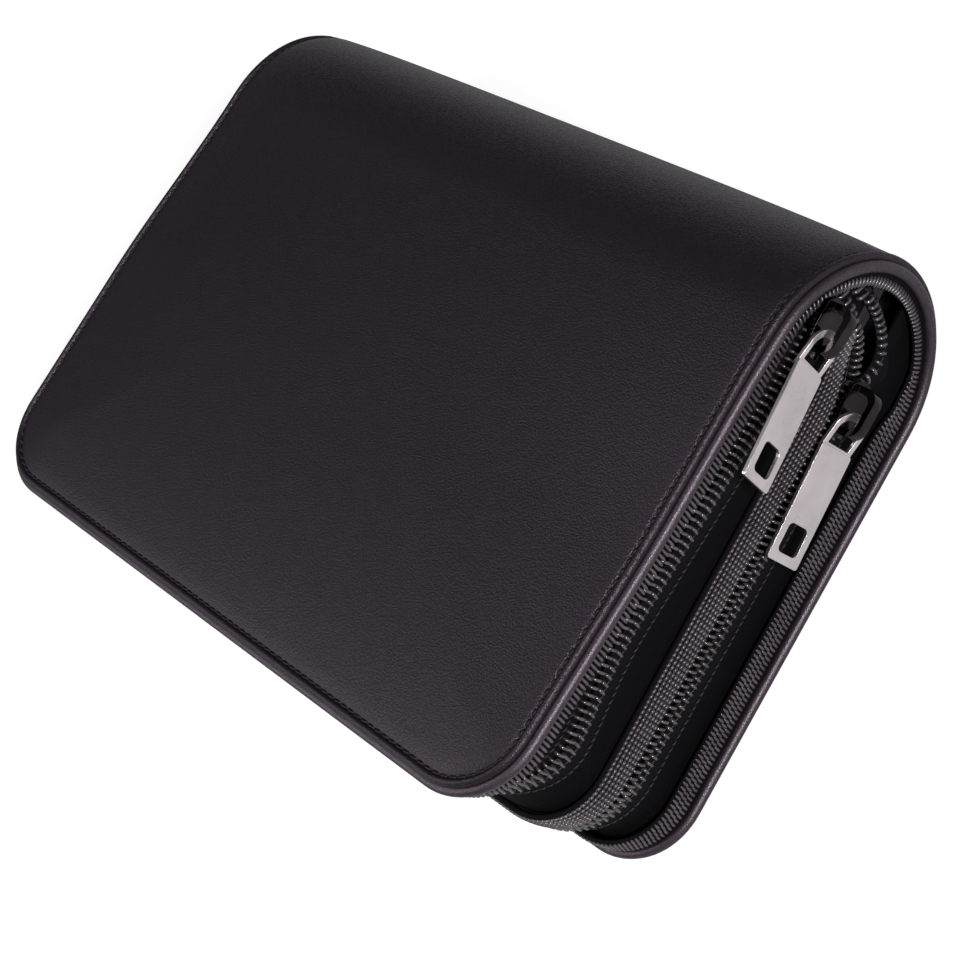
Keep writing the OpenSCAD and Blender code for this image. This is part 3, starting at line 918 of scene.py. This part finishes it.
# Open ends of the rear zip past its slider, as (y, z) from the spine to the slider's nose
REAR_TAIL_Y = 42.0
OUTER_ROW_BACK = REAR_TAIL_Y - 10
TAIL_TUCK = 2.4
TAIL_TUCK_RUN = 6.0
TAIL_END = (REAR_TAIL_Y, REAR_ZIP_Z)
UPPER_TAIL = [(56.5, 41.5), (54.6, 38.6), (52.5, 35.0), (51.0, 31.6), (48.8, 29.0), (45.8, 26.8), TAIL_END]
LOWER_TAIL = [(56.8, 38.0), (55.4, 34.4), (53.4, 29.3), (51.2, 25.6), (48.6, 23.3), (45.4, 23.0), TAIL_END]

ZIP_HALVES = (
    ("front_zip_lower", True, -1, "divider_leaf", 47.5, None),
    ("front_zip_upper", True, 1, "front_cover", 43.5, None),
    ("rear_zip_lower", False, -1, "rear_case", REAR_TAIL_Y, LOWER_TAIL),
    ("rear_zip_upper", False, 1, "divider_leaf", REAR_TAIL_Y, UPPER_TAIL),
)


def zip_track(front, back, tail, step):
    height, radius = (FRONT_ZIP_Z, FRONT_ZIP_R) if front else (REAR_ZIP_Z, REAR_ZIP_R)
    grow = FRONT_GROW / 3 if front else 0.0
    near = near_side(back, step, height, 1, grow, radius)
    if tail:
        near = joined(path_track(tail, step), near)
    track = whole(near, opening_edge(step, height, 1, grow, radius))
    if not front:
        return track
    track = track.tilted()
    return Track(track.at(0.0, sag(track.points)), track.out, track.up)


def tooth(tip, side):
    """Hooped tooth of the coil from its root to its tip across the chain."""
    hoop = [
        (2.35, -0.5), (2.35, 0.05), (1.95, 0.42), (1.15, 0.5), (tip + 0.3, 0.42), (tip, 0.05),
        (tip + 0.08, -0.4),
    ]
    line = [(0.16 * w, side * w, n) for w, n in hoop]
    return tube(line, (0.3, 0.34, 0.36, 0.36, 0.42, 0.42, 0.3))


def make_zips():
    for name, front, side, body, back, tail in ZIP_HALVES:
        track = zip_track(front, back, tail, 1.0)
        frames = track.spaced(TOOTH_PITCH, ZIP_IN, 0.0, 0.25 if side > 0 else 0.75)
        near_run = (frames.points[:, 0] > HALF_L - 1) & (frames.out[:, 0] > 0.999)
        shape = Shape()
        shape.stamp(tooth(0.4, side), frames.part(near_run), ZIP_IN)
        shape.stamp(tooth(-0.4, side), frames.part(~near_run), ZIP_IN)
        coil = piece(name + "_teeth", shape, COIL)
        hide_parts(name + "_coil")
        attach(coil, body)
        make_tape(name, front, side, body, track)


def make_tape(name, front, side, body, track):
    """Tape of one half with its rows of sewing, narrower where the rear zip's open ends turn up."""
    full = LOWER_TAPE_W
    if side > 0:
        full = FRONT_UPPER_TAPE_W if front else DIVIDER_Z - REAR_ZIP_Z
    turned = smooth(0.0, 0.6, np.abs(track.up[:, 1])) if not front else np.zeros(len(track))
    if front and side > 0:
        full = full + sag(track.points)
    reach = full + (TAIL_TAPE_W - full) * turned
    across = TAPE_FROM + (reach - TAPE_FROM)[:, None] * np.linspace(0, 1, 6)
    face = np.full_like(across, TAPE_IN)
    ring = np.stack(
        [
            np.concatenate([face, face + TAPE_T], axis=1),
            -side * np.concatenate([across, across[:, ::-1]], axis=1),
        ],
        axis=2,
    )
    shape = Shape()
    shape.sweep(track, ring)
    made = piece(name + "_tape_cloth", shape, TAPE_AND_SHADE)
    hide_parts(name + "_tape")
    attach(made, body)
    line = [(-0.62, -0.16, 0), (-0.3, -0.06, 0.1), (0.3, 0.06, 0.1), (0.62, 0.16, 0)]
    dash = tube(line, (0.1, 0.2, 0.2, 0.1))
    shape = Shape()
    rows = (INNER_ROW, OUTER_ROW) if side < 0 else (INNER_ROW,)
    for row in rows:
        run = track.part(track.points[:, 1] < OUTER_ROW_BACK) if row == OUTER_ROW else track
        shape.stamp(dash, run.spaced(TOOTH_PITCH, TAPE_IN), TAPE_IN, -side * row)
    sewn = piece(name + "_sewing", shape, SEWING)
    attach(sewn, body)


# Divider


def make_divider_linings():
    """Cloth on both faces of the divider, wrapped over the edge of its board."""
    edge_in = LAYER_IN - 0.25
    wrap = [(edge_in, 1.7), (edge_in, 0.9), (LAYER_IN, 0.35), (LAYER_IN + 0.8, 0.05), (6.0, 0.0)]
    for name, node, height, up_z, sewn in (
        ("divider_upper_cloth", "divider_upper_lining", DIVIDER_HIGH, 1, []),
        ("divider_lower_cloth", "divider_lower_lining", DIVIDER_LOW, -1, ["rear_zip_upper_tape_cloth"]),
    ):
        near = near_side(DIVIDER_BACK, 2.0, height, up_z)
        edge = opening_edge(2.0, height, up_z)
        shape = sheet_shape(near, edge, wrap, no_pad, near.at(wrap[-1][0], 0.0)[:, 1])
        made = piece(name, shape, LINING)
        modify(made, "SOLIDIFY", thickness=DIVIDER_CLOTH_T * MM, offset=-1)
        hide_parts(node)
        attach(made, "divider_leaf")


def make_divider_binding():
    """Grosgrain band: columns of short yarn floats on a near-black backing, rising and narrowing at its
    ends; the backing's colour is painted shade between the floats.
    """
    columns, float_pitch, half = 6, 1.15, 3.7
    back = 50.0

    def raised(track):
        """The track lifted towards the ends of the band, and the band's share of its width."""
        end = smooth(AXIS_Y - 6, back, track.points[:, 1])
        return Track(track.at(0.0, -3.2 * end), track.out, track.up), 1 - 0.5 * end

    path, share = raised(level_track(back, 1.5, DIVIDER_Z))
    one = np.ones(len(path))
    insets = np.stack([k * one for k in (2.2, 1.85, 1.7, 1.85, 2.2, 2.9, 2.9)], axis=1)
    depths = np.stack([half * k * share for k in (-1, -0.85, 0, 0.85, 1, 1, -1)], axis=1)
    band = Shape()
    band.sweep(path, np.stack([insets, depths], axis=2))
    line = [(-0.46, -0.12, -0.12), (-0.25, -0.07, 0.08), (0.25, 0.07, 0.08), (0.46, 0.12, -0.12)]
    bead = tube(line, (0.2, 0.36, 0.36, 0.2))
    floats = Shape()
    for k in range(columns):
        across = 2 * half * ((k + 0.5) / columns - 0.5)
        inset = 1.6 + 0.35 * (across / half) ** 2
        places = level_track(back, 1.5, DIVIDER_Z).spaced(float_pitch, inset, 0.0, 0.3 + 0.13 * k)
        places, share = raised(places)
        floats.stamp(bead, places, inset, across * share)
    made = piece("divider_ribbed_binding", floats, RIBBED)
    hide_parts("divider_binding")
    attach(made, "divider_leaf")
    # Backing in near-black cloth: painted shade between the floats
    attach(piece("divider_binding_backing", band, TAPE_AND_SHADE), "divider_leaf")


# Hardware


def rounded(width, low, high, low_r, high_r):
    """Closed outline of (y, z) points with one corner radius at each end."""
    corners = (
        (high, -high_r, 1, high_r),
        (low, low_r, 1, low_r),
        (low, low_r, -1, low_r),
        (high, -high_r, -1, high_r),
    )
    points = []
    for k, (end, inward, side, radius) in enumerate(corners):
        for turn in math.pi / 2 * (k + np.linspace(0, 1, 7)):
            centre = side * (width / 2 - radius)
            points.append((end + inward + radius * math.cos(turn), centre + radius * math.sin(turn)))
    return np.array(points + points[:1])


def plate(outer, window, low):
    """Stamped plate with a window, its inner face at the height low, as rings of points."""
    def ring(outline, height):
        return np.insert(outline, 0, height, axis=1)

    high = low + PULL_T
    walls = ((outer, low), (outer, high), (window, high), (window, low), (outer, low))
    return np.array([ring(outline, height) for outline, height in walls])


def make_pulls():
    """Thin pulls, bent between the eye on the slider's crown and the flat tab."""
    eye_reach = PULL_BAR / 2 + EYE_WINDOW_L + EYE_NECK
    tab_end = PULL_BAR / 2 + eye_reach - PULL_L
    eye = plate(
        rounded(EYE_W, -eye_reach - EYE_OVERLAP, PULL_BAR / 2, NECK_R, EYE_R),
        rounded(EYE_W - 2 * EYE_ARM, -PULL_BAR / 2 - EYE_WINDOW_L, -PULL_BAR / 2, NECK_R, EYE_WINDOW_R),
        EYE_LOW,
    )
    window_end = tab_end + PULL_RIM
    tab = plate(
        rounded(PULL_W, tab_end, 0.0, TAB_R, TAB_R),
        rounded(PULL_WINDOW_W, window_end, window_end + PULL_WINDOW_L, PULL_WINDOW_R, PULL_WINDOW_R),
        TAB_LOW,
    )
    bend = np.array(Matrix.Rotation(-EYE_BEND, 3, "Z"))
    for body, rise in (("front_pull", FRONT_PULL_RISE), ("rear_pull", REAR_PULL_RISE)):
        swing = joint(body + "_swing")
        bar = Vector(swing["axis"])
        out = (Vector((1, 0, 0)) - bar * bar.x).normalized()
        turn = np.array(Matrix((out, bar.cross(out), bar)).transposed() @ Matrix.Rotation(rise, 3, "Z"))
        shape = Shape()
        for rings in (eye @ bend.T, tab + bend @ (0.0, -eye_reach, 0.0)):
            shape.loft(rings @ turn.T + np.array(swing["pos_m"]) / MM, closed=False)
        made = piece(body + "_plate", shape, PULL)
        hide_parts(body)
        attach(made, body)
        modify(made, "WELD", merge_threshold=WELD_WITHIN * MM)
        modify(
            made, "BEVEL", width=PULL_BEVEL * MM, segments=2, harden_normals=True,
            limit_method="ANGLE", angle_limit=BEVEL_FROM_A,
        )


def finish_nodes():
    """Finishes on the CAD nodes that stay: sliders and boards."""
    for name, material in (
        ("front_slider", SLIDER),
        ("rear_slider", SLIDER),
        ("front_cover_board", BOARD),
        ("rear_cover_board", BOARD),
        ("divider_board", BOARD),
    ):
        node = frame["nodes"][name]
        node.data.materials.clear()
        node.data.materials.append(material)
        if material == SLIDER:
            modify(node, "WELD", merge_threshold=WELD_WITHIN * MM)
            modify(
                node, "BEVEL", width=SLIDER_BEVEL * MM, segments=4,
                limit_method="ANGLE", angle_limit=BEVEL_FROM_A,
            )


# Stage


def make_camera():
    """Camera fitted to the photograph's frame of 960 by 960."""
    frame_px = 960
    focal_px = 2176.64
    sensor_mm = 36.0
    place = Vector((340.872, 1.194, 375.412))
    right = Vector((0.632549, 0.4814, -0.60674))
    down = Vector((0.368483, -0.876086, -0.310943))
    ahead = Vector((-0.681243, -0.026879, -0.731564))
    data = bpy.data.cameras.new("camera")
    data.sensor_width = sensor_mm
    data.lens = focal_px * sensor_mm / frame_px
    data.clip_start = 0.01
    data.clip_end = 50
    camera = bpy.data.objects.new("camera", data)
    axes = Matrix((right, -down, -ahead)).transposed().to_4x4()
    camera.matrix_world = Matrix.Translation(place * MM) @ axes
    bpy.context.scene.collection.objects.link(camera)
    bpy.context.scene.camera = camera


def area_light(name, place, size, power):
    """Square soft light aimed at the middle of the case."""
    data = bpy.data.lights.new(name, "AREA")
    data.shape = "RECTANGLE"
    data.size = data.size_y = size
    data.energy = power
    lamp = bpy.data.objects.new(name, data)
    lamp.location = place
    lamp.rotation_euler = (Vector(AIM) - Vector(place)).to_track_quat("-Z", "Y").to_euler()
    bpy.context.scene.collection.objects.link(lamp)


def make_world():
    """Even dim light all round, seen as white by the camera alone."""
    world = bpy.data.worlds.new("studio")
    world.use_nodes = True
    nodes, links = world.node_tree.nodes, world.node_tree.links
    brighter = nodes.new("ShaderNodeMath")
    brighter.operation = "MAXIMUM"
    brighter.inputs[1].default_value = WORLD_LIGHT
    links.new(nodes.new("ShaderNodeLightPath").outputs["Is Camera Ray"], brighter.inputs[0])
    links.new(brighter.outputs[0], nodes["Background"].inputs["Strength"])
    nodes["Background"].inputs["Color"].default_value = (1, 1, 1, 1)
    bpy.context.scene.world = world


def make_stage():
    """Pale floor that the camera sees as white beside the shadow, with the lights and the world."""
    shape = Shape()
    side = np.linspace(-FLOOR_HALF, FLOOR_HALF, 9)
    shape.loft(np.array([[(x, y, FLOOR_Z) for x in side] for y in side]), closed=False)
    look = Look("floor_paper")
    mottle = look.noise(60.0, 2.0)
    seen = look.add("ShaderNodeLightPath").outputs["Is Camera Ray"]
    look.shade(
        Base_Color=look.ramp(mottle, (0.52, 0.52, 0.52), (0.54, 0.54, 0.54)),
        Roughness=0.9,
        Specular_IOR_Level=0.1,
        Emission_Color=(1, 1, 1, 1),
        Emission_Strength=look.math("MULTIPLY", seen, FLOOR_GLOW),
    )
    mesh = bpy.data.meshes.new("floor")
    mesh.from_pydata((np.concatenate(shape.verts) * MM).tolist(), [], shape.faces)
    mesh.materials.append(look.material)
    floor = bpy.data.objects.new("floor", mesh)
    bpy.context.scene.collection.objects.link(floor)
    make_world()
    area_light("key", (1.0, 0.03, 0.8), 0.25, 16)
    area_light("top", (-0.3, -0.15, 1.0), 0.4, 1.5)
    area_light("fill", (-0.5, -0.75, 0.8), 0.7, 5)
    bpy.context.scene.view_settings.view_transform = "Standard"


make_camera()
make_stage()
make_leather()
make_piping()
make_bindings()
make_stitching()
make_zips()
make_linings()
make_walls()
make_partitions()
make_divider_linings()
make_divider_binding()
make_pulls()
finish_nodes()
